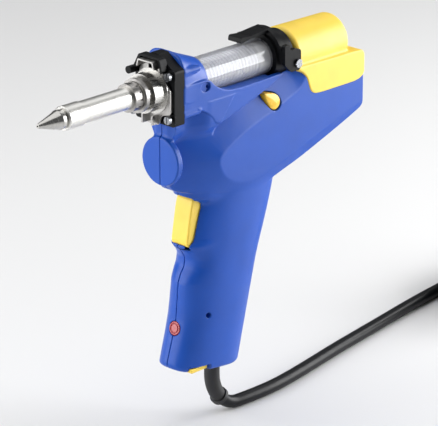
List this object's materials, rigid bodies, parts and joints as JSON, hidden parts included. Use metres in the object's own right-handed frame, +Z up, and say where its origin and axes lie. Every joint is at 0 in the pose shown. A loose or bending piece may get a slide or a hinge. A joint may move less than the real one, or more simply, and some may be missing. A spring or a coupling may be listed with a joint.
{
  "type": "desoldering pump",
  "caption": "Pistol-grip electric desoldering pump: heated nozzle, clear solder filter tube, vacuum pump in the rear, trigger, mains lead with plug.",
  "frame": {"origin": "on the barrel axis in the middle of the heater's front collar, which a tool stand holds", "axes": "-X towards the nozzle tip, +X to the rear cover, +Z up with the grip hanging below, Y across the tool; Y = 0 is the housing's joint plane"},
  "size_m": [0.439, 0.0665, 0.2128],
  "materials": {
    "blue_plastic": "fine satin moulding texture",
    "yellow_plastic": "satin moulded",
    "black_plastic": "satin moulded",
    "clear_plastic": "clear polished tube",
    "bright_steel": "turned and brushed",
    "pressed_steel": "pressed sheet",
    "plated_tip": "tinned and heat stained",
    "screw_steel": "nickel plated",
    "ceramic": "fired ceramic",
    "rubber": "soft moulded",
    "clear_rubber": "silicone",
    "paper": "pressed fibre",
    "red_lens": "translucent lens",
    "board": "solder resist",
    "wire": "insulated wire",
    "cord_rubber": "smooth cord sheath",
    "brass": "plug blades"
  },
  "bodies": {
    "housing": {"housing_right": "blue_plastic", "housing_left": "blue_plastic", "housing_screws": "screw_steel", "rear_cover": "yellow_plastic", "nozzle": "plated_tip", "nozzle_collar": "bright_steel", "heater_sleeve": "bright_steel", "heater_core": "ceramic", "suction_pipe": "bright_steel", "retaining_nut": "bright_steel", "clip_spring": "pressed_steel", "heat_shield": "pressed_steel", "steel_bracket": "pressed_steel", "ceramic_spacer": "ceramic", "flange_plate": "black_plastic", "flange_screws": "screw_steel", "filter_tube": "clear_plastic", "front_seal": "clear_rubber", "rear_seal": "rubber", "solder_coil": "bright_steel", "filter_cartridge": "paper", "tube_holder": "black_plastic", "lever_pivots": "screw_steel", "trigger_pin": "screw_steel", "trigger_spring": "bright_steel", "micro_switch": "black_plastic", "pump_motor": "bright_steel", "pump_diaphragm": "rubber", "pump_head": "black_plastic", "vacuum_hose": "clear_rubber", "circuit_board": "board", "heater_wires": "wire", "mains_wires": "wire", "indicator_lens": "red_lens", "trimmer_base": "board", "foot_clip": "yellow_plastic", "cord_boot": "rubber", "cord": "cord_rubber", "cord_coil": "cord_rubber", "coil_tie": "black_plastic", "plug_body": "rubber", "plug_pins": "brass"},
    "trigger": {"trigger": "yellow_plastic"},
    "plunger": {"switch_plunger": "red_lens"},
    "button": {"side_button": "yellow_plastic"},
    "lever": {"release_lever": "black_plastic"},
    "crank": {"motor_crank": "brass"},
    "yoke": {"pump_rod": "black_plastic"},
    "trimmer_knob": {"trimmer": "brass"}
  },
  "joints": [
    {"name": "trigger_pull", "type": "hinge", "parent": "housing", "child": "trigger", "pos_m": [0.089, 0, -0.0645], "axis": [0, -1, 0], "range_deg": [0, 7], "stiffness_Nm_per_rad": 0.35, "springref_deg": -3.44},
    {"name": "switch_press", "type": "slide", "parent": "housing", "child": "plunger", "axis": [1, 0, 0], "range_m": [0, 0.0012]},
    {"name": "button_push", "type": "slide", "parent": "housing", "child": "button", "axis": [0, 1, 0], "range_m": [0, 0.0015], "stiffness_N_per_m": 600, "springref_m": -0.001},
    {"name": "lever_open", "type": "hinge", "parent": "housing", "child": "lever", "pos_m": [0.1465, 0, -0.0023], "axis": [0, 1, 0], "range_deg": [0, 30], "stiffness_Nm_per_rad": 0.05, "springref_deg": -5.73},
    {"name": "motor_spin", "type": "hinge", "parent": "housing", "child": "crank", "pos_m": [0.18, 0, 0], "axis": [1, 0, 0], "continuous": true},
    {"name": "pump_stroke", "type": "slide", "parent": "housing", "child": "yoke", "axis": [0, 0, 1], "range_m": [-0.001, 0.001], "stiffness_N_per_m": 400, "deforming": ["pump_diaphragm"]},
    {"name": "trimmer_turn", "type": "hinge", "parent": "housing", "child": "trimmer_knob", "pos_m": [0.0842, -0.009, -0.127], "axis": [0, -1, 0], "range_deg": [-135, 135]}
  ],
  "couplings": [
    {"joint": "switch_press", "follows": "trigger_pull", "m_per_rad": 0.0095}
  ]
}
